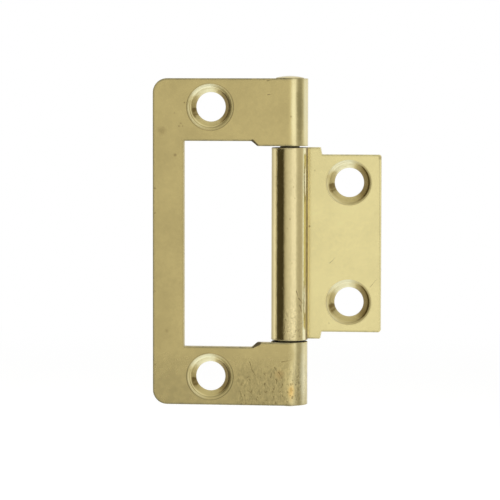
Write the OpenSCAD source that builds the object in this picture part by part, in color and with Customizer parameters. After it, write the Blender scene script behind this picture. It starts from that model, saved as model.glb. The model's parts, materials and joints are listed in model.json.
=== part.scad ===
// Flush hinge for a light cabinet door. Two leaves of thin brassed sheet turn on one pin.
// The inner leaf folds into the window of the outer leaf, so the closed hinge takes up one
// sheet thickness between door and frame. Z runs up along the pin, the outer leaf reaches
// towards -X and the screw heads go in from -Y. The origin lies on the outer leaf's back
// face, midway between its two screw holes.

/* [Sheet] */
// Thickness of the sheet that both leaves are pressed from
sheet_t = 1.25; // [0.8:0.05:1.6]
// Gap left where a rolled edge comes back to the face of its own leaf
seam_gap = 0.15; // [0.05:0.05:0.4]

/* [Pin] */
// Diameter of the pin
pin_d = 3; // [2.4:0.1:4]
// Gap all round the pin inside the knuckles
pin_gap = 0.05; // [0.02:0.01:0.1]
// Width of the formed head's rim past the pin, all round
head_rim_w = 0.65; // [0.3:0.05:0.9]
// Height of the formed head
head_h = 0.4; // [0.2:0.05:0.8]
// Width of the peened end's rim past the pin, all round
peen_rim_w = 0.25; // [0.15:0.05:0.6]
// Height of the peened end
peen_h = 0.35; // [0.2:0.05:0.8]
// Height of the upright rim under each of the two domed ends
rim_h = 0.1; // [0.05:0.05:0.15]

/* [Inner leaf] */
// Length of the inner leaf's knuckle along the pin
knuckle_len = 29.5; // [26:0.1:45]
// Gap between that knuckle and the outer leaf's knuckles, at each end
end_play = 0.25; // [0.1:0.05:0.6]
// From the pin's centre line to the inner leaf's free edge
inner_reach = 13.9; // [12.8:0.1:20]
// How far the plate steps in from each end of the knuckle
shoulder = 1.1; // [0.5:0.05:2]
// How far out from the pin's centre line the leaf keeps the knuckle's full length
tab_reach = 4.75; // [3.5:0.05:5]
// Width of that step's slope, along the leaf's reach
tab_slope_w = 0.2; // [0.1:0.05:0.6]
// Radius of the plate's two free corners
inner_corner_r = 0.4; // [0.2:0.1:1.2]

/* [Outer leaf] */
// Length of the outer leaf's top knuckle along the pin
top_knuckle_len = 10.3; // [9:0.1:16]
// Length of the outer leaf's bottom knuckle along the pin
bottom_knuckle_len = 9.7; // [9:0.1:16]
// Gap all round the inner leaf's plate when it lies in the window
nest_gap = 2.1; // [1:0.05:2.4]
// Width of the long rail beside the window
rail_w = 4.8; // [3:0.05:9]
// How far out from the pin's centre line the window keeps close to the knuckle
neck_reach = 4.7; // [3.4:0.1:5.5]
// Width of the slope of the window's step, along the leaf's reach
neck_slope_w = 0.9; // [0.4:0.1:2]
// Radius of the outer leaf's two free corners
outer_corner_r = 2.2; // [0.5:0.1:4]

/* [Screw holes] */
// Diameter of the screw holes
hole_d = 4.5; // [3.5:0.1:4.8]
// Diameter of the countersinks at the face
sink_d = 7; // [6:0.1:7.6]
// Width of the shallow lip that the press leaves round each countersink
lip_w = 0.5; // [0.2:0.05:0.6]
// How deep that lip goes
lip_drop = 0.1; // [0.05:0.05:0.2]
// Straight wall left in a screw hole under its countersink
sink_land = 0.2; // [0.1:0.05:0.4]
// From the outer leaf's ends to the centres of its holes
outer_hole_inset = 4.35; // [4.1:0.05:4.9]
// From the outer leaf's free edge to the centres of its holes
outer_hole_edge = 8.85; // [6:0.05:12]
// From the inner plate's top and bottom edges to the centres of its holes, before their rise
inner_hole_inset = 4.45; // [4.1:0.05:7]
// From the inner leaf's free edge to the centres of its holes
inner_hole_edge = 4.95; // [4.1:0.05:5.2]
// How far above the inner plate's middle its two holes are centred
inner_hole_rise = 0.15; // [0:0.05:0.2]

/* [Hidden] */
$fn = 96;
outer_tone = "#b6a26b";
inner_tone = "#e3d598";
pin_tone = "#c9b57c";
// Cutting tools run past the faces they cut by this much
cut_over = 1;

// The roll of a knuckle: bore, outside, and the sweep that leaves the seam gap
bore_r = pin_d / 2 + pin_gap;
roll_r = bore_r + sheet_t;
seam_angle = asin((bore_r - seam_gap) / roll_r);
roll_sweep = 270 + seam_angle;

// The window is the inner leaf's outline with its gaps round it
plate_len = knuckle_len - 2 * shoulder;
neck_half = knuckle_len / 2 + end_play;
window_half = plate_len / 2 + nest_gap;
window_reach = inner_reach + nest_gap;
outer_reach = window_reach + rail_w;
outer_len = bottom_knuckle_len + 2 * neck_half + top_knuckle_len;

// Middle of the window and of the inner leaf, which the two end knuckles' lengths set
window_z = (bottom_knuckle_len - top_knuckle_len) / 2;

// Screw hole centres: x from the pin's centre line, and half of each pair's spacing
outer_hole_x = outer_reach - outer_hole_edge;
outer_hole_half = outer_len / 2 - outer_hole_inset;
inner_hole_x = inner_reach - inner_hole_edge;
inner_hole_half = plate_len / 2 - inner_hole_inset;

// Moves a shape drawn round the pin's centre line to its place beside the origin
module round_pin() {
    translate([outer_hole_x, bore_r, 0])
        children();
}

// A sheet outline standing in the XZ plane, with its front face at front_y
module upright_sheet(front_y) {
    translate([0, front_y + sheet_t, 0])
        rotate([90, 0, 0])
            linear_extrude(height = sheet_t)
                children();
}

// Outline that runs from the pin's centre line to a free edge with two round corners
module plate_outline(reach, length, corner_r) {
    translate([0, -length / 2])
        square([reach - corner_r, length]);
    translate([0, corner_r - length / 2])
        square([reach, length - 2 * corner_r]);
    for (side = [-1, 1])
        translate([reach - corner_r, side * (length / 2 - corner_r)])
            circle(r = corner_r);
}

// The sheet's edge rolled round the pin. The roll leaves the leaf's flat at start_angle and
// comes back to the leaf's face, where the seam gap stays open.
module rolled_knuckle(bottom_z, length, start_angle) {
    translate([0, 0, bottom_z])
        rotate([0, 0, start_angle])
            rotate_extrude(angle = roll_sweep)
                translate([bore_r, 0])
                    square([sheet_t, length]);
}

// Cutter for one screw hole, opening to -Y at front_y: the shallow lip, then the countersink,
// then the straight wall
module screw_hole(x, front_y, z) {
    face_r = sink_d / 2;
    wall_r = hole_d / 2;
    translate([x, front_y, z])
        rotate([-90, 0, 0])
            rotate_extrude()
                polygon([
                    [0, -cut_over], [face_r, -cut_over], [face_r, 0],
                    [face_r - lip_w, lip_drop], [wall_r, sheet_t - sink_land],
                    [wall_r, sheet_t + cut_over], [0, sheet_t + cut_over]
                ]);
}

// Outline of the window, open towards the pin: wide round the plate, close to the knuckle
module window_outline() {
    slope_end = neck_reach + neck_slope_w;
    polygon([
        [cut_over, -neck_half], [-neck_reach, -neck_half],
        [-slope_end, -window_half], [-window_reach, -window_half],
        [-window_reach, window_half], [-slope_end, window_half],
        [-neck_reach, neck_half], [cut_over, neck_half]
    ]);
}

// Outline of the inner leaf: the full-length tab beside the knuckle, then the shorter plate
module inner_outline() {
    tab_half = knuckle_len / 2;
    plate_outline(inner_reach, plate_len, inner_corner_r);
    polygon([
        [0, -tab_half], [tab_reach - tab_slope_w, -tab_half], [tab_reach, -plate_len / 2],
        [tab_reach, plate_len / 2], [tab_reach - tab_slope_w, tab_half], [0, tab_half]
    ]);
}

// The larger leaf. Its face runs off the front of the barrel, and an end knuckle is rolled
// at its top and its bottom, away from the viewer and back to the leaf.
module outer_leaf() {
    color(outer_tone)
        round_pin()
            difference() {
                union() {
                    upright_sheet(-roll_r)
                        mirror([1, 0])
                            plate_outline(outer_reach, outer_len, outer_corner_r);
                    rolled_knuckle(-outer_len / 2, bottom_knuckle_len, -90);
                    rolled_knuckle(window_z + neck_half, top_knuckle_len, -90);
                }
                translate([0, sheet_t - roll_r + cut_over, window_z])
                    rotate([90, 0, 0])
                        linear_extrude(height = sheet_t + 2 * cut_over)
                            window_outline();
                for (side = [-1, 1])
                    screw_hole(-outer_hole_x, -roll_r, side * outer_hole_half);
            }
}

// The smaller leaf. It lies at the back of the barrel when the hinge is open flat, and its
// long knuckle is rolled round the far side and over the front.
module inner_leaf() {
    color(inner_tone)
        round_pin()
            translate([0, 0, window_z])
                difference() {
                    union() {
                        upright_sheet(bore_r)
                            inner_outline();
                        rolled_knuckle(-knuckle_len / 2, knuckle_len, 90);
                    }
                    for (side = [-1, 1])
                        screw_hole(inner_hole_x, bore_r, inner_hole_rise + side * inner_hole_half);
                }
}

// One end of the pin beyond the knuckle: a short upright rim under a low dome
module domed_end(rim_w, height) {
    end_r = pin_d / 2 + rim_w;
    rise = height - rim_h;
    ball_r = (end_r * end_r + rise * rise) / (2 * rise);
    cylinder(r = end_r, h = rim_h);
    intersection() {
        translate([0, 0, height - ball_r])
            sphere(r = ball_r);
        translate([0, 0, rim_h + rise / 2])
            cube([2 * ball_r, 2 * ball_r, rise], center = true);
    }
}

// The pin, held by its formed head on the top knuckle and its peened end under the bottom one
module hinge_pin() {
    color(pin_tone)
        round_pin() {
            cylinder(d = pin_d, h = outer_len, center = true);
            translate([0, 0, outer_len / 2])
                domed_end(head_rim_w, head_h);
            translate([0, 0, -outer_len / 2])
                mirror([0, 0, 1])
                    domed_end(peen_rim_w, peen_h);
        }
}

outer_leaf();
inner_leaf();
hinge_pin();
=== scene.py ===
import json
import math

import bpy
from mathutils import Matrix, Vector


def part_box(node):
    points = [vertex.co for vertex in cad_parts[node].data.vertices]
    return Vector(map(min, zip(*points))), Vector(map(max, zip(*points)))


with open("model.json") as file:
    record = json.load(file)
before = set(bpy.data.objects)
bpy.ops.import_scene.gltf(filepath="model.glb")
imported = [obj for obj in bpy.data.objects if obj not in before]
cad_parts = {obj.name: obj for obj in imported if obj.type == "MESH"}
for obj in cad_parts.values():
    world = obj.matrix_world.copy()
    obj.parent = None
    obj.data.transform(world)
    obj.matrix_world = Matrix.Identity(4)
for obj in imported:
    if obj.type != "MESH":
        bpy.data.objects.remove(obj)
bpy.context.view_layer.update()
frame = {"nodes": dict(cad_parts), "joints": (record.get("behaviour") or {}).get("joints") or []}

mm = 0.001
hinge = frame["nodes"]
pinAxis = tuple(value / mm for value in frame["joints"][0]["pos_m"])    # millimetres
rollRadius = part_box("outer_leaf")[1][0] / mm - pinAxis[0]               # outside of the knuckles
facePlane = (1, 0, 1)           # what keeps x and z of a place
acrossPin = (1, 1, 0)           # what keeps x and y
scene = bpy.context.scene
print("frame loaded with", ", ".join(sorted(hinge)))


def addNode(tree, kind, sockets=None, **settings):
    node = tree.nodes.new("ShaderNode" + kind)
    for name, value in settings.items():
        setattr(node, name, value)
    fillSockets(tree, node, sockets or {})
    return node


def fillSockets(tree, node, sockets):
    for key, value in sockets.items():
        if isinstance(value, bpy.types.NodeSocket):
            tree.links.new(value, node.inputs[key])
        else:
            node.inputs[key].default_value = value


def maths(tree, operation, a, b=0.0, clamp=False):
    return addNode(tree, "Math", {0: a, 1: b}, operation=operation, use_clamp=clamp).outputs[0]


def times(tree, value, *factors):
    for factor in factors:
        value = maths(tree, "MULTIPLY", value, factor)
    return value


def plus(tree, value, *others):
    for other in others:
        value = maths(tree, "ADD", value, other)
    return value


def most(tree, value, *others):  # the strongest of some masks
    for other in others:
        value = maths(tree, "MAXIMUM", value, other)
    return value


def less(tree, value, taken):
    return maths(tree, "SUBTRACT", value, taken)


def vectors(tree, operation, a, b=None):
    node = addNode(tree, "VectorMath", {0: a} if b is None else {0: a, 1: b}, operation=operation)
    isNumber = operation in ("LENGTH", "DOT_PRODUCT", "DISTANCE")
    return node.outputs["Value" if isNumber else "Vector"]


def scaled(tree, vector, factor):
    return addNode(tree, "VectorMath", {0: vector, "Scale": factor}, operation="SCALE").outputs[0]


def axes(tree, vector):  # its X, Y and Z
    return addNode(tree, "SeparateXYZ", {0: vector}).outputs


def ramp(tree, value, start, end, low=0.0, high=1.0):  # smooth step from low to high
    node = addNode(tree, "MapRange", {"Value": value, "From Min": start, "From Max": end,
                                      "To Min": low, "To Max": high},
                   interpolation_type="SMOOTHSTEP")
    return node.outputs["Result"]


def mix(tree, amount, below, above):  # mix of two numbers, amount 0 gives below
    return addNode(tree, "Mix", {0: amount, 2: below, 3: above}).outputs[0]


def blend(tree, amount, below, above):  # mix of two colours, amount 0 gives below
    sockets = {0: amount, 6: below, 7: above}
    for key, value in sockets.items():
        if isinstance(value, tuple):
            sockets[key] = (*value, 1.0)
    return addNode(tree, "Mix", sockets, data_type="RGBA").outputs[2]


# Noise that the finish is made of: scale per millimetre, detail, roughness, and for some of them
# how it is stretched along x, y and z
patterns = {
    "drift": (0.16, 3.0, 0.55),
    "mottle": (1.3, 4.0, 0.65),
    "grain": (7.0, 2.0, 0.6, (1.0, 1.0, 0.5)),
    "streaks": (3.0, 5.0, 0.75, (1.3, 1.0, 0.6)),
    "patches": (0.9, 4.0, 0.6),
    "handling": (0.55, 4.0, 0.6),
    "specks": (2.4, 2.5, 0.6, (1.0, 1.0, 0.7)),
    "drawLines": (4.5, 3.0, 0.6, (1.0, 0.07, 1.0)),
    "tear": (9.0, 3.0, 0.7),
    "waves": (0.3, 2.0, 0.5),
    "ripple": (0.9, 1.0, 0.5),
}


def pattern(tree, place, name):
    scale, detail, roughness, *stretch = patterns[name]
    if stretch:
        place = vectors(tree, "MULTIPLY", place, stretch[0])
    node = addNode(tree, "TexNoise", {"Vector": place, "Scale": scale, "Detail": detail,
                                      "Roughness": roughness})
    return node.outputs["Fac"]


# Distances in the looks are in millimetres, and places are (x, z) as seen from the front.
# A crevice is the line where a rolled knuckle comes back to its leaf: its direction (x, y) from
# the pin's centre line, and the y where its side of the sheet begins and ends.
outerLook = {
    "flatTone": (0.685, 0.567, 0.256),
    "rolledTone": (0.70, 0.61, 0.32),
    "rolledFrom": (12.25, 13.15),   # x where the finish passes from flat to rolled
    "frontY": -1.25,                # the face that the marks lie on
    "backY": 0.0,
    "mottle": 0.12,                 # how far the tone drifts, light and dark
    "roughness": {"flat": 0.22, "rolled": 0.10},
    "dull": {"tone": (0.43, 0.36, 0.17), "fromZ": -14.0, "toZ": -23.0, "amount": 0.57},
    "worn": {"fromZ": -16.8, "toZ": -21.5, "fromX": 3.5, "toX": 14.6, "amount": 0.50},
    "holes": [(0.0, 20.65), (0.0, -20.65)],
    "seat": {"cone": 2.85, "ring": 1.0},     # where its cone ends, and how dark the painted shade lines of its pressed ring are
    "crevice": (-0.83, -0.55),
    "creviceSide": (-0.35, -0.1),
    "edge": 0.95,                   # how dark the painted shade line along the pressed edges is
    "stains": [
        # x, z, radius, strength
        (-7.4, 16.95, 0.7, 0.35), (-5.4, 13.3, 0.25, 0.6), (-4.8, 17.7, 0.13, 0.6),
        (-4.5, 18.15, 0.11, 0.5), (-4.2, 17.7, 0.12, 0.6), (-5.5, 19.7, 0.12, 0.5),
        (-3.95, 21.3, 0.13, 0.7), (12.4, 19.2, 0.2, 0.5), (-6.7, -13.7, 0.3, 0.3),
        (-8.5, 8.2, 0.16, 0.7), (-8.5, 4.4, 0.15, 0.6), (-8.5, -7.6, 0.15, 0.5),
        (-8.5, -18.9, 0.15, 0.5),
    ],
    "scratches": [
        # x and z of both ends, width
        (9.95, -19.1, 10.25, -19.7, 0.12), (10.55, -19.85, 11.0, -20.5, 0.13),
        (9.35, -20.7, 9.5, -19.9, 0.10), (10.1, -20.95, 10.4, -21.3, 0.11),
        (6.1, -18.3, 6.45, -19.5, 0.07), (6.45, -19.5, 7.05, -20.45, 0.10),
        (8.35, -20.1, 8.55, -20.4, 0.12), (5.75, -20.75, 6.05, -20.5, 0.10),
        (11.0, -18.25, 12.6, -17.9, 0.10), (8.8, 22.5, 9.5, 22.62, 0.10),
        (8.7, 24.62, 9.4, 24.7, 0.12),
    ],
    # painted dark lines along the neck slopes, for the dark their worn edges reflect
    "burrs": [(6.5, 15.5, 7.35, 14.85, 0.30), (7.55, -15.4, 6.65, -16.1, 0.46)],
    "speckle": {"fromX": 4.0, "toX": 13.6, "fromZ": -18.0, "toZ": -21.5, "amount": 0.75},
    "tints": [
        # painted light on the knuckles: the pale first, third, fifth, seventh and eighth strips are
        # painted highlights and reflections; the dark second, fourth and sixth are painted shade, the
        # sixth partly wear; the last three are copper and orange-brown tints of the metal
        {"place": (12.7, 20.2), "halfSize": (0.38, 6.5), "tone": (0.90, 0.81, 0.44), "amount": 0.75},
        {"place": (13.62, 20.2), "halfSize": (0.48, 6.5), "tone": (0.38, 0.33, 0.15), "amount": 0.75},
        {"place": (14.4, 20.2), "halfSize": (0.22, 6.5), "tone": (0.78, 0.74, 0.50), "amount": 0.5},
        {"place": (12.6, -17.1), "halfSize": (0.62, 1.7), "tone": (0.53, 0.44, 0.20), "amount": 0.85},
        {"place": (12.48, -22.0), "halfSize": (0.42, 3.6), "tone": (0.88, 0.76, 0.38), "amount": 0.65},
        {"place": (13.1, -22.3), "halfSize": (0.38, 3.8), "tone": (0.46, 0.39, 0.19), "amount": 0.6},
        {"place": (11.85, -21.6), "halfSize": (0.5, 2.3), "tone": (0.84, 0.71, 0.33), "amount": 0.6},
        {"place": (14.15, -20.3), "halfSize": (0.4, 5.5), "tone": (0.92, 0.88, 0.62), "amount": 0.6},
        {"place": (12.5, -22.8), "halfSize": (0.5, 1.25), "tone": (0.86, 0.59, 0.20), "amount": 0.8},
        {"place": (12.5, -22.5), "halfSize": (0.18, 0.5), "tone": (0.52, 0.33, 0.09), "amount": 0.6},
        {"place": (10.7, -20.2), "halfSize": (0.7, 0.8), "tone": (0.66, 0.44, 0.17), "amount": 0.4},
    ],
}

innerLook = {
    # painted light: brighter than the outer leaf's flat tone, for the brighter reflection this leaf
    # catches
    "flatTone": (0.98, 0.87, 0.44),
    "rolledTone": (0.77, 0.66, 0.35),
    "rolledFrom": (14.95, 14.72),
    "frontY": 3.1,
    "backY": 4.35,
    # the flat's far side is duller and patchy, and its finish runs on over the roll
    "back": {"tone": (0.79, 0.67, 0.31), "patch": (0.71, 0.60, 0.275), "fromY": 3.7, "toY": 4.3},
    "mottle": 0.075,
    "roughness": {"flat": 0.22, "rolled": 0.13},
    "dull": {"tone": (0.60, 0.50, 0.25), "fromZ": -12.0, "toZ": -20.0, "amount": 0.1},
    "worn": {"fromZ": -6.5, "toZ": -13.0, "fromX": 10.6, "toX": 14.6, "amount": 0.15},
    "holes": [(20.9, 9.05), (20.9, -9.35)],
    "seat": {"cone": 3.1, "ring": 0.15},
    "crevice": (0.83, 0.55),
    "creviceSide": (3.45, 3.2),
    "edge": 0.7,
    "stains": [
        (14.85, 2.3, 0.17, 0.8), (25.75, 12.9, 0.35, 0.5), (15.65, 10.9, 0.15, 0.25),
        (17.9, -12.6, 0.14, 0.4), (12.8, 8.5, 0.13, 0.4), (12.28, 3.6, 0.15, 0.4),
        (11.9, 2.2, 0.13, 0.35), (13.0, 6.8, 0.11, 0.35), (12.6, -3.1, 0.12, 0.35),
    ],
    "scratches": [
        (17.95, -3.35, 18.85, -2.5, 0.05), (13.3, -7.4, 13.6, -8.5, 0.12),
        (13.6, -8.5, 14.15, -9.35, 0.12), (13.75, -9.6, 14.0, -10.55, 0.13),
        (11.2, -6.95, 11.5, -7.2, 0.14), (11.55, -11.7, 11.9, -12.0, 0.08),
        (13.2, -13.5, 13.5, -13.2, 0.08), (11.4, -13.9, 11.8, -13.4, 0.07),
        (24.2, -7.0, 25.3, -5.7, 0.04),
    ],
    "speckle": {"fromX": 10.9, "toX": 14.2, "fromZ": -8.5, "toZ": -13.0, "amount": 0.45},
    # painted highlight: a pale strip down the right side of the barrel
    "tints": [{"place": (14.3, -0.3), "halfSize": (0.19, 24), "tone": (1.0, 0.97, 0.64), "amount": 1.0}],
}

pinLook = {
    "flatTone": (0.72, 0.62, 0.31),
    "rolledTone": (0.66, 0.56, 0.27),
    "rolledFrom": (12.65, 13.25),
    "frontY": -1.25,
    "backY": 4.35,
    "mottle": 0.10,
    "roughness": {"flat": 0.13, "rolled": 0.13},
    "dull": {"tone": (0.42, 0.34, 0.16), "fromZ": -13.0, "toZ": -25.0, "amount": 0.4},
    "worn": {"fromZ": -20.0, "toZ": -25.0, "fromX": 8.0, "toX": 16.0, "amount": 0.3},
    "edge": 0.15,
    "holes": [],
    "stains": [],
    "scratches": [],
    "tints": [],
}

screwSeat = {
    "lip": 3.5,                                 # radius of the pressed lip
    "ring": 3.6,                                # radius of the line round it
    "tone": (0.66, 0.56, 0.26),
    "bright": (1.0, 0.97, 0.66),                # painted highlight, where a clock passes 1
    "brown": (1.0, 0.80, 0.50),                 # what a shade of 0 leaves of red, green and blue
    # painted light and shade round the clock, 12 at the top: a painted highlight there, painted brown
    # shade from 1 to 5
    "coneClock": [(0.0, 1.9), (0.5, 1.5), (0.9, 0.8), (1.6, 0.5), (3.0, 0.52), (4.3, 0.44),
                  (5.1, 0.75), (7.2, 0.92), (7.8, 0.85), (8.05, 0.4), (8.25, 0.7), (8.5, 0.42),
                  (8.75, 0.4), (9.0, 0.95), (10.0, 1.05), (10.5, 1.75), (12.0, 1.95)],
    "lipClock": [(0.0, 2.0), (0.6, 1.4), (1.4, 1.0), (4.5, 0.85), (6.0, 0.98), (7.2, 1.3), (8.2, 1.2),
                 (8.8, 1.25), (9.6, 1.0), (10.5, 1.85), (12.0, 2.0)],
    # how dark the painted shade lines at the cone's edge, in the lip and round the seat are
    "seamClock": [(0.0, 0.0), (0.9, 0.1), (1.5, 0.8), (4.2, 0.75), (5.2, 0.2), (7.6, 0.1),
                  (8.2, 0.5), (9.0, 0.1)],
    "foldClock": [(0.0, 0.0), (1.2, 0.3), (3.0, 0.45), (5.0, 0.2), (6.8, 0.3), (8.2, 0.5),
                  (9.3, 0.3), (10.0, 0.0)],
    "ringClock": [(0.0, 0.05), (1.5, 0.3), (3.0, 0.55), (5.2, 0.4), (6.5, 0.2), (8.0, 0.5),
                  (9.5, 0.55), (10.4, 0.2)],
    "seam": {"past": 0.05, "width": 0.13},      # distance past the cone's edge
    "fold": {"past": 0.3, "width": 0.12},
    "ringWidth": 0.10,
    "coneBlur": 0.08,
    "lipBlur": 0.05,
    "wobble": 0.08,                             # how uneven the clock is, in turns
    "roughness": 0.42,
    "pitch": 0.22,                              # of the fine rings that the cutter left
    "depth": 0.004,
}


def clockRamp(tree, share, tones):  # a value that changes round the clock, 12 at the top
    node = addNode(tree, "ValToRGB", {0: share})
    stops = node.color_ramp.elements
    stops.remove(stops[-1])
    top = max(tone for _, tone in tones)
    for i, (hour, tone) in enumerate(tones):
        stop = stops[0] if i == 0 else stops.new(hour / 12)
        stop.position = hour / 12
        stop.color = (tone / top, tone / top, tone / top, 1)
    return times(tree, node.outputs["Color"], top)


def circleLine(tree, radius, at, width, darkness):  # shade factor of a thin dark circle
    gap = maths(tree, "ABSOLUTE", less(tree, radius, at))
    near = ramp(tree, gap, width, width * 0.3)
    return less(tree, 1.0, times(tree, near, darkness))


def newGroup(name, inputs, outputs):  # an empty node group with its sockets
    tree = bpy.data.node_groups.new(name, "ShaderNodeTree")
    for side, sockets in (("INPUT", inputs), ("OUTPUT", outputs)):
        for socket, kind in sockets.items():
            tree.interface.new_socket(socket, in_out=side, socket_type="NodeSocket" + kind)
    return tree, tree.nodes.new("NodeGroupInput").outputs, tree.nodes.new("NodeGroupOutput")


def useGroup(tree, group, **sockets):
    node = tree.nodes.new("ShaderNodeGroup")
    node.node_tree = group
    fillSockets(tree, node, sockets)
    return node.outputs


def makeSeatGroup():  # one countersink: painted highlight and shade round its cone and lip, painted shade lines, and its fine rings
    tree, given, out = newGroup(
        "screw seat",
        {"Place": "Vector", "Centre": "Vector", "Tone": "Color", "Wobble": "Float",
         "Front": "Float", "Cone": "Float", "Ring": "Float"},
        {"Tone": "Color", "Rings": "Float", "Inside": "Float"})
    seat = screwSeat
    away = vectors(tree, "SUBTRACT", given["Place"], given["Centre"])
    away = vectors(tree, "MULTIPLY", away, facePlane)
    radius = vectors(tree, "LENGTH", away)
    split = axes(tree, away)
    turn = maths(tree, "DIVIDE", maths(tree, "ARCTAN2", split["X"], split["Z"]), 2 * math.pi)
    turn = plus(tree, turn, times(tree, less(tree, given["Wobble"], 0.5), seat["wobble"]))
    share = maths(tree, "FRACT", plus(tree, turn, 1.0))

    def clock(name):
        return clockRamp(tree, share, seat[name])

    pastCone = less(tree, radius, given["Cone"])
    cone = ramp(tree, pastCone, seat["coneBlur"], -seat["coneBlur"])
    inside = ramp(tree, radius, seat["lip"] + seat["lipBlur"], seat["lip"] - seat["lipBlur"])
    inside = times(tree, given["Front"], inside)
    seam = circleLine(tree, pastCone, seat["seam"]["past"], seat["seam"]["width"], clock("seamClock"))
    fold = circleLine(tree, pastCone, seat["fold"]["past"], seat["fold"]["width"],
                      times(tree, clock("foldClock"), given["Ring"]))
    shade = times(tree, mix(tree, cone, clock("lipClock"), clock("coneClock")), seam, fold)
    # a shade under 1 is painted shade, browner the darker; above 1 it is a painted highlight
    lit = scaled(tree, seat["tone"], maths(tree, "MINIMUM", shade, 1.0))
    shadedBrown = vectors(tree, "MULTIPLY", lit, seat["brown"])
    tone = blend(tree, ramp(tree, shade, 0.9, 0.1), lit, shadedBrown)
    tone = blend(tree, maths(tree, "SUBTRACT", shade, 1.0, clamp=True), tone, seat["bright"])
    tone = blend(tree, inside, given["Tone"], tone)
    darkness = times(tree, clock("ringClock"), given["Ring"], given["Front"])
    ring = circleLine(tree, radius, seat["ring"], seat["ringWidth"], darkness)
    wave = maths(tree, "SINE", times(tree, radius, 2 * math.pi / seat["pitch"]))
    tree.links.new(scaled(tree, tone, ring), out.inputs["Tone"])
    tree.links.new(times(tree, wave, inside), out.inputs["Rings"])
    tree.links.new(inside, out.inputs["Inside"])
    return tree


def makeScratchGroup():  # mask of one straight scratch that thins out along its run
    tree, given, out = newGroup(
        "scratch",
        {"Place": "Vector", "Start": "Vector", "Run": "Vector", "Width": "Float"},
        {"Mask": "Float"})
    away = vectors(tree, "MULTIPLY", given["Place"], facePlane)
    away = vectors(tree, "SUBTRACT", away, given["Start"])
    along = vectors(tree, "DOT_PRODUCT", away, given["Run"])
    whole = vectors(tree, "DOT_PRODUCT", given["Run"], given["Run"])
    share = maths(tree, "DIVIDE", along, whole, clamp=True)
    gap = vectors(tree, "DISTANCE", away, scaled(tree, given["Run"], share))
    thinning = times(tree, given["Width"], ramp(tree, share, 0.0, 1.0, 1.0, 0.35))
    mask = maths(tree, "SUBTRACT", 1.0, maths(tree, "DIVIDE", gap, thinning), clamp=True)
    tree.links.new(mask, out.inputs["Mask"])
    return tree


seatGroup = makeSeatGroup()
scratchGroup = makeScratchGroup()


def scratchMasks(tree, at, runs):
    return [useGroup(tree, scratchGroup, Place=at["place"], Start=(x, 0, z),
                     Run=(endX - x, 0, endZ - z), Width=width)["Mask"]
            for x, z, endX, endZ, width in runs]


def blotch(tree, at, centre, halfSize):  # a round or oval patch with a ragged outline
    away = vectors(tree, "SUBTRACT", at["place"], (centre[0], 0, centre[1]))
    away = vectors(tree, "MULTIPLY", away, (1 / halfSize[0], 0, 1 / halfSize[1]))
    ragged = plus(tree, vectors(tree, "LENGTH", away), at["mottle"])
    return ramp(tree, ragged, 1.9, 0.7)


def within(tree, at, area):  # 1 in the worn area of a look, fading out at its sides
    left = ramp(tree, at["x"], area["fromX"] - 0.5, area["fromX"] + 1.5)
    right = ramp(tree, at["x"], area["toX"] + 0.8, area["toX"] - 0.8)
    return times(tree, left, right, ramp(tree, at["z"], area["fromZ"], area["toZ"]))


# tones of stains and dents, and of painted shade: along edges, in corners and where the knuckles meet
# (with some dirt), and in crevices
grimeAndShade = {
    "stain": (0.30, 0.22, 0.09),
    "dent": (0.20, 0.14, 0.05),
    "edge": (0.13, 0.12, 0.06),
    "dirt": (0.05, 0.032, 0.006),
    "silt": (0.17, 0.115, 0.028),
    "edgeReach": 0.55,          # how far off a pressed edge shows
    "shadeAndDirtReach": 1.6,           # how far off a wall the painted shade and dirt still reach
    "meeting": 16.0,            # z of the knuckle ends that meet, and not the hinge's outer ends
    "metalLeft": 0.15,          # how metallic the darkest painted shade and dirt looks
}


# Each stage below takes the tone so far and gives the next one. The dictionary "at" holds where a
# point lies, and the masks that later stages use again.

def findPlace(tree, look):
    place = scaled(tree, addNode(tree, "TexCoord").outputs["Object"], 1 / mm)
    split = axes(tree, place)
    away = vectors(tree, "MULTIPLY", vectors(tree, "SUBTRACT", place, pinAxis), acrossPin)
    at = {"place": place, "x": split["X"], "y": split["Y"], "z": split["Z"], "away": away}
    at["pastRoll"] = less(tree, vectors(tree, "LENGTH", away), rollRadius)
    at["normal"] = addNode(tree, "NewGeometry").outputs["Normal"]
    for name in ("drift", "mottle", "grain", "streaks"):
        at[name] = pattern(tree, place, name)
    at["rolled"] = ramp(tree, at["x"], *look["rolledFrom"])
    flatFront = ramp(tree, at["y"], look["frontY"] + 1.0, look["frontY"] + 0.5)
    rollFront = times(tree, at["rolled"], ramp(tree, at["y"], 1.5, 0.8))
    at["onFront"] = most(tree, flatFront, rollFront)
    return at


def sheetTone(tree, at, look):
    flat = look["flatTone"]
    back = look.get("back")
    if back:
        far = ramp(tree, at["y"], back["fromY"], back["toY"])
        onRoll = ramp(tree, at["pastRoll"], 0.2, 0.07)
        at["rolled"] = times(tree, at["rolled"], onRoll, less(tree, 1.0, far))
        handled = ramp(tree, pattern(tree, at["place"], "handling"), 0.35, 0.75)
        flat = blend(tree, far, flat, blend(tree, handled, back["tone"], back["patch"]))
    return blend(tree, at["rolled"], flat, look["rolledTone"])


drifting = {
    "drift": 1.1, "mottle": 0.6, "grain": 0.4,      # share of each pattern in the lightness
    "darkAt": 0.65, "lightAt": 1.45,                # their sum at its darkest and its lightest
    "lightShare": 0.6,                              # it lightens less than it darkens
    "wornLightShare": 0.7,                          # the same where it is worn
    "flecks": 0.2,                                  # how far the rolled sheet is flecked
}


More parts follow.
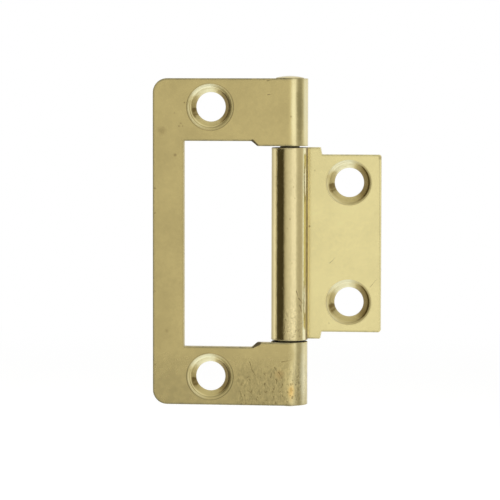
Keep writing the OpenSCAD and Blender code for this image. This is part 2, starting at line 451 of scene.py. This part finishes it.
def addDrift(tree, at, look, tone):  # slow drift, patches and a fine grain, and streaks where worn
    shares = [times(tree, at[name], drifting[name]) for name in ("drift", "mottle", "grain")]
    dark, light = 1 - look["mottle"], 1 + look["mottle"] * drifting["lightShare"]
    lightness = ramp(tree, plus(tree, *shares), drifting["darkAt"], drifting["lightAt"], dark, light)
    worn = look["worn"]
    at["worn"] = times(tree, within(tree, at, worn), ramp(tree, at["drift"], 0.35, 0.6, 0.5, 1.0))
    dark, light = 1 - worn["amount"], 1 + worn["amount"] * drifting["wornLightShare"]
    uneven = mix(tree, at["worn"], 1.0, ramp(tree, at["streaks"], 0.3, 0.7, dark, light))
    flecks = times(tree, less(tree, at["streaks"], 0.5), at["rolled"], drifting["flecks"])
    return scaled(tree, tone, plus(tree, times(tree, lightness, uneven), flecks))


def addDulling(tree, at, look, tone):  # dulled in patches towards the lower end
    dull = look["dull"]
    patches = ramp(tree, pattern(tree, at["place"], "patches"), 0.38, 0.62, 0.6, 1.0)
    lower = ramp(tree, at["z"], dull["fromZ"], dull["toZ"])
    at["dulling"] = times(tree, lower, patches, dull["amount"])
    return blend(tree, at["dulling"], tone, dull["tone"])


# patches of tint and of painted highlight and painted shade, then stains
def addTintsAndPaintedLight(tree, at, look, tone):
    for tint in look["tints"]:
        mask = blotch(tree, at, tint["place"], tint["halfSize"])
        tone = blend(tree, times(tree, mask, at["onFront"], tint["amount"]), tone, tint["tone"])
    for x, z, size, amount in look["stains"]:
        mask = blotch(tree, at, (x, z), (size, size))
        tone = blend(tree, times(tree, mask, amount, at["onFront"]), tone, grimeAndShade["stain"])
    return tone


def addSeats(tree, at, look, tone):
    notBack = ramp(tree, at["y"], look["backY"] - 0.02, look["backY"] - 0.06)
    at["seats"] = []
    for x, z in look["holes"]:
        seat = useGroup(tree, seatGroup, Place=at["place"], Centre=(x, 0, z), Tone=tone,
                        Wobble=at["mottle"], Front=notBack, Cone=look["seat"]["cone"],
                        Ring=look["seat"]["ring"])
        at["seats"].append(seat)
        tone = seat["Tone"]
    return tone


def addDents(tree, at, look, tone):
    dents = scratchMasks(tree, at, look["scratches"])
    speckle = look.get("speckle")
    if speckle:
        specks = ramp(tree, pattern(tree, at["place"], "specks"), 0.44, 0.33)
        dents.append(times(tree, specks, within(tree, at, speckle), speckle["amount"]))
    if dents:
        at["dents"] = times(tree, most(tree, *dents), at["onFront"])
        tone = blend(tree, times(tree, at["dents"], 0.8), tone, grimeAndShade["dent"])
    return tone


cutFace = {
    "tone": (0.40, 0.33, 0.15),
    "drawnTo": 0.5,             # how far from the front the punch left the face smooth
    "fray": 0.5,                # how uneven the line is where it tore
    "tearBlur": 0.12,
}


def addCutFaces(tree, at, look, tone):  # drawn smooth at the front and torn rough behind
    level = maths(tree, "ABSOLUTE", axes(tree, at["normal"])["Y"])
    at["cut"] = times(tree, ramp(tree, level, 0.5, 0.2), ramp(tree, at["pastRoll"], 0.15, 0.3))
    at["drawn"] = pattern(tree, at["place"], "drawLines")
    frayed = times(tree, less(tree, at["drawn"], 0.5), cutFace["fray"])
    depth = plus(tree, less(tree, at["y"], look["frontY"]), frayed)
    tornFrom = cutFace["drawnTo"]
    at["torn"] = times(tree, at["cut"], ramp(tree, depth, tornFrom, tornFrom + cutFace["tearBlur"]))
    lines = times(tree, at["cut"], ramp(tree, at["drawn"], 0.35, 0.65, 0.0, 0.3))
    tears = times(tree, at["torn"], ramp(tree, at["mottle"], 0.35, 0.65, 0.35, 0.75))
    tone = blend(tree, lines, tone, cutFace["tone"])
    return blend(tree, tears, tone, cutFace["tone"])


def edgeLean(tree, normal, axis):  # 0 on faces square to the axis or along it, 0.25 halfway between
    share = axes(tree, normal)[axis]
    share = times(tree, share, share)
    return times(tree, share, less(tree, 1.0, share))


def addEdges(tree, at, look, tone):  # painted shade: a dark, dull line along the pressed edges
    soft = addNode(tree, "Bevel", {"Radius": grimeAndShade["edgeReach"] * mm}, samples=6).outputs["Normal"]
    facing = vectors(tree, "DOT_PRODUCT", at["normal"], soft)
    curled = ramp(tree, at["pastRoll"], 0.15, 0.07)
    lean = mix(tree, curled, edgeLean(tree, at["normal"], "Y"), edgeLean(tree, at["normal"], "Z"))
    edge = most(tree, ramp(tree, facing, 0.995, 0.95), ramp(tree, lean, 0.02, 0.1))
    for seat in at["seats"]:
        edge = times(tree, edge, less(tree, 1.0, seat["Inside"]))
    litOnRight = ramp(tree, axes(tree, soft)["X"], 0.1, 0.35, 1.0, 0.25)    # painted light: edges that face right keep little of the line
    patchy = ramp(tree, at["mottle"], 0.35, 0.65, look["edge"] * 0.6, look["edge"])
    at["edge"] = times(tree, edge, litOnRight, patchy)
    return blend(tree, at["edge"], tone, grimeAndShade["edge"])


def addShadeAndDirt(tree, at, look, tone):  # painted shade with some dirt in corners and where the knuckles meet, and painted dark lines along the neck slopes
    reach = {"Distance": grimeAndShade["shadeAndDirtReach"] * mm}
    openness = addNode(tree, "AmbientOcclusion", reach, samples=8).outputs["AO"]
    dirt = ramp(tree, openness, 0.50, 0.15, 0.0, 0.94)
    ends = ramp(tree, maths(tree, "ABSOLUTE", axes(tree, at["normal"])["Z"]), 0.6, 0.9)
    height = maths(tree, "ABSOLUTE", at["z"])
    meets = ramp(tree, height, grimeAndShade["meeting"] + 0.5, grimeAndShade["meeting"], 0.0, 0.9)
    dirt = most(tree, dirt, times(tree, ends, ramp(tree, at["pastRoll"], 0.05, -0.08), meets))
    burrs = scratchMasks(tree, at, look.get("burrs", []))
    if burrs:
        slopeShadeLine = ramp(tree, most(tree, *burrs), 0.0, 0.5, 0.0, 0.95)
        dirt = most(tree, dirt, times(tree, slopeShadeLine, at["onFront"]))
    at["dirt"] = dirt
    return blend(tree, dirt, tone, grimeAndShade["dirt"])


def addCreviceShade(tree, at, look, tone):  # painted shade along the line where a rolled edge comes back to its leaf
    if "crevice" in look:
        outwards = vectors(tree, "NORMALIZE", at["away"])
        turned = vectors(tree, "DOT_PRODUCT", outwards, (*look["crevice"], 0))
        silt = times(tree, ramp(tree, turned, 0.50, 0.63), ramp(tree, at["pastRoll"], 0.4, 0.2),
                     ramp(tree, turned, 0.97, 0.85), ramp(tree, at["y"], *look["creviceSide"]),
                     ramp(tree, at["mottle"], 0.35, 0.6, 0.8, 0.95))
        tone = blend(tree, silt, tone, grimeAndShade["silt"])
        at["dirt"] = most(tree, at["dirt"], silt)
    at["dirt"] = most(tree, at["dirt"], times(tree, at["edge"], 0.8))
    return tone


rougher = {"dulling": 0.2, "worn": 0.06, "dirt": 0.4, "torn": 0.2}      # what each mask adds


def roughnessOf(tree, at, look):
    polish = look["roughness"]
    rough = ramp(tree, at["rolled"], 0.0, 1.0, polish["flat"], polish["rolled"])
    rough = plus(tree, rough, ramp(tree, at["mottle"], 0.3, 0.7, -0.03, 0.03))
    for name, amount in rougher.items():
        rough = plus(tree, rough, times(tree, at[name], amount))
    for seat in at["seats"]:
        rough = mix(tree, seat["Inside"], rough, screwSeat["roughness"])
    return rough


# Heights in millimetres
relief = {"waves": 0.006, "ripple": 0.022, "grain": 0.0014, "streaks": 0.02, "drawn": 0.02,
          "torn": 0.03, "dents": 0.02}


def normalOf(tree, at):
    place = at["place"]
    heights = [(pattern(tree, place, "waves"), relief["waves"]),
               (times(tree, pattern(tree, place, "ripple"), at["rolled"]), relief["ripple"]),
               (at["grain"], relief["grain"]),
               (times(tree, at["streaks"], at["worn"]), relief["streaks"]),
               (times(tree, at["drawn"], at["cut"]), relief["drawn"]),
               (times(tree, at["torn"], pattern(tree, place, "tear")), relief["torn"])]
    heights += [(seat["Rings"], screwSeat["depth"]) for seat in at["seats"]]
    if "dents" in at:
        heights.append((times(tree, at["dents"], -1.0), relief["dents"]))
    normal = {}
    for height, depth in heights:
        bump = addNode(tree, "Bump", {"Height": height, "Distance": depth * mm, "Strength": 1.0, **normal})
        normal = {"Normal": bump.outputs["Normal"]}
    return normal["Normal"]


def brass(name, look):
    material = bpy.data.materials.new(name)
    material.use_nodes = True
    tree = material.node_tree
    at = findPlace(tree, look)
    tone = sheetTone(tree, at, look)
    for stage in (addDrift, addDulling, addTintsAndPaintedLight, addSeats, addDents, addCutFaces, addEdges,
                  addShadeAndDirt, addCreviceShade):
        tone = stage(tree, at, look, tone)
    metallic = ramp(tree, at["dirt"], 0.0, 1.0, 1.0, grimeAndShade["metalLeft"])
    fillSockets(tree, tree.nodes["Principled BSDF"], {
        "Base Color": tone,
        "Metallic": metallic,
        "Roughness": roughnessOf(tree, at, look),
        "Normal": normalOf(tree, at),
    })
    return material


pressedEdge = {
    "radius": {"outer_leaf": 0.11, "inner_leaf": 0.10, "hinge_pin": 0.05},
    "segments": 3,
    "sharpFrom": 28,            # degrees between two faces, from where their edge is rounded
    "flatWithin": 1,            # degrees that one flat's triangles may differ by
    "weld": 0.001,
}


def dress(node, material):
    body = hinge[node]
    body.data.materials.clear()
    body.data.materials.append(material)
    weld = body.modifiers.new("weld", "WELD")
    weld.merge_threshold = pressedEdge["weld"] * mm
    flats = body.modifiers.new("whole flats", "DECIMATE")
    flats.decimate_type = "DISSOLVE"
    flats.angle_limit = math.radians(pressedEdge["flatWithin"])
    edges = body.modifiers.new("pressed edges", "BEVEL")
    edges.width = pressedEdge["radius"][node] * mm
    edges.segments = pressedEdge["segments"]
    edges.limit_method = "ANGLE"
    edges.angle_limit = math.radians(pressedEdge["sharpFrom"])
    edges.harden_normals = False
    smooth = body.modifiers.new("even normals", "WEIGHTED_NORMAL")
    smooth.keep_sharp = False


dress("outer_leaf", brass("outer brass", outerLook))
dress("inner_leaf", brass("inner brass", innerLook))
dress("hinge_pin", brass("pin brass", pinLook))
print("brass and pressed edges on", len(hinge), "pieces")


studio = {
    "floorZ": -80.0,
    "floorSize": 6.0,             # metres
    "floorTone": (0.86, 0.86, 0.85),
    "floorLift": 0.2,             # added for the camera, so that the bare floor is white
    "horizon": (350.0, 700.0),    # the floor passes into the white background
    "skyForLight": 0.72,
    "wallRadius": 700.0,
    "wallLow": -420.0,
    "wallHigh": 480.0,
    "wallSides": 96,
    "wallWarmth": (1.0, 1.06, 1.27),   # power on red, green and blue: the darker, the browner
    # brightness of the wall by its bearing in degrees: 0 is in front, 90 to the right
    "wallTones": [(-180, 0.92), (-160, 0.86), (-142, 0.58), (-124, 0.72), (-108, 0.98), (-98, 1.0),
                  (-87, 0.9), (-79.5, 0.075), (-34, 0.06), (-25, 0.42), (-19, 0.57), (-8, 0.73), (5, 0.83),
                  (14, 0.90), (22, 1.05), (43, 1.12), (50, 0.80), (60, 0.60), (78, 0.54), (92, 0.66),
                  (104, 0.87), (114, 1.03), (155, 1.05), (180, 0.92)],
}


def seenDirectly(tree):  # 1 for camera, glossy and transmission rays
    path = addNode(tree, "LightPath").outputs
    return most(tree, path["Is Camera Ray"], path["Is Glossy Ray"], path["Is Transmission Ray"])


def makeWorld():
    world = bpy.data.worlds.new("white background")
    scene.world = world
    world.use_nodes = True
    tree = world.node_tree
    tree.nodes.clear()
    shown = addNode(tree, "Background", {"Color": (1, 1, 1, 1), "Strength": 1.0})
    light = addNode(tree, "Background", {"Color": (1, 1, 1, 1), "Strength": studio["skyForLight"]})
    both = addNode(tree, "MixShader", {0: seenDirectly(tree), 1: light.outputs[0], 2: shown.outputs[0]})
    addNode(tree, "OutputWorld", {"Surface": both.outputs[0]})


def makeFloor():
    bpy.ops.mesh.primitive_plane_add(size=studio["floorSize"], location=(0, 0, studio["floorZ"] * mm))
    floor = bpy.context.object
    floor.name = "floor"
    floor.visible_glossy = False       # reflections see the wall and the white background
    material = bpy.data.materials.new("pale floor")
    material.use_nodes = True
    floor.data.materials.append(material)
    tree = material.node_tree
    tree.nodes.clear()
    seen = seenDirectly(tree)
    coords = addNode(tree, "TexCoord").outputs["Object"]
    near, far = (value * mm for value in studio["horizon"])
    away = times(tree, ramp(tree, vectors(tree, "LENGTH", coords), near, far), seen)
    card = addNode(tree, "BsdfDiffuse", {"Color": (*studio["floorTone"], 1)})
    lift = addNode(tree, "Emission", {"Strength": times(tree, seen, studio["floorLift"])})
    lifted = addNode(tree, "AddShader", {0: card.outputs[0], 1: lift.outputs[0]})
    white = addNode(tree, "Emission", {"Strength": 1.0})
    whole = addNode(tree, "MixShader", {0: away, 1: lifted.outputs[0], 2: white.outputs[0]})
    addNode(tree, "OutputMaterial", {"Surface": whole.outputs[0]})


def makeWall():  # a round wall of cards that only the metal's reflections see
    sides = studio["wallSides"]
    radius, low, high = (studio[key] * mm for key in ("wallRadius", "wallLow", "wallHigh"))
    turns = [2 * math.pi * i / sides for i in range(sides)]
    ring = [(radius * math.sin(turn), -radius * math.cos(turn)) for turn in turns]
    points = [(x, y, low) for x, y in ring] + [(x, y, high) for x, y in ring]
    faces = [(i, (i + 1) % sides, sides + (i + 1) % sides, sides + i) for i in range(sides)]
    mesh = bpy.data.meshes.new("reflection cards")
    mesh.from_pydata(points, [], faces)
    wall = bpy.data.objects.new("reflectionCards", mesh)
    scene.collection.objects.link(wall)
    wall.visible_camera = False
    wall.visible_diffuse = False
    wall.visible_shadow = False
    wall.visible_transmission = False
    material = bpy.data.materials.new("reflection cards")
    material.use_nodes = True
    mesh.materials.append(material)
    tree = material.node_tree
    tree.nodes.clear()
    split = axes(tree, addNode(tree, "TexCoord").outputs["Object"])
    bearing = maths(tree, "ARCTAN2", split["X"], times(tree, split["Y"], -1.0))
    share = plus(tree, maths(tree, "DIVIDE", bearing, 2 * math.pi), 0.5)
    tones = addNode(tree, "ValToRGB", {0: share})
    stops = tones.color_ramp.elements
    while len(stops) > 1:
        stops.remove(stops[-1])
    top = max(tone for _, tone in studio["wallTones"])
    for i, (angle, tone) in enumerate(studio["wallTones"]):
        stop = stops[0] if i == 0 else stops.new(angle / 360 + 0.5)
        stop.position = angle / 360 + 0.5
        stop.color = (*(tone / top * tone ** (power - 1) for power in studio["wallWarmth"]), 1)
    glow = addNode(tree, "Emission", {"Color": tones.outputs["Color"], "Strength": top})
    addNode(tree, "OutputMaterial", {"Surface": glow.outputs[0]})


softboxes = [
    {"name": "overheadBox", "place": (0.15, -0.35, 0.75), "size": 0.6, "watts": 3.2},
    {"name": "sideBox", "place": (-0.7, -0.1, 0.5), "size": 0.5, "watts": 1.6},
]


def makeLamps():
    for box in softboxes:
        lamp = bpy.data.lights.new(box["name"], "AREA")
        lamp.shape = "SQUARE"
        lamp.size = box["size"]
        lamp.energy = box["watts"]
        holder = bpy.data.objects.new(box["name"], lamp)
        holder.location = box["place"]
        holder.rotation_euler = (-Vector(box["place"])).to_track_quat("-Z", "Y").to_euler()
        holder.visible_glossy = False      # the metal mirrors the cards and the background
        scene.collection.objects.link(holder)


makeWorld()
makeFloor()
makeWall()
makeLamps()
print("studio lit")


viewpoint = {
    "place": (0.051804, -0.395752, 0.024529),
    "aim": (0.005925, 0.000769, -0.001284),
    "lens": 187.749,
    "sensor": 36.0,
    "roll": 0.1,                  # degrees
    "clip": (0.01, 20.0),
}


def makeCamera():
    lens = bpy.data.cameras.new("photo camera")
    lens.lens = viewpoint["lens"]
    lens.sensor_width = viewpoint["sensor"]
    lens.clip_start, lens.clip_end = viewpoint["clip"]
    camera = bpy.data.objects.new("photoCamera", lens)
    scene.collection.objects.link(camera)
    place = Vector(viewpoint["place"])
    camera.location = place
    camera.rotation_euler = (Vector(viewpoint["aim"]) - place).to_track_quat("-Z", "Y").to_euler()
    camera.rotation_euler.rotate_axis("Z", math.radians(viewpoint["roll"]))
    scene.camera = camera


makeCamera()
scene.view_settings.view_transform = "Standard"
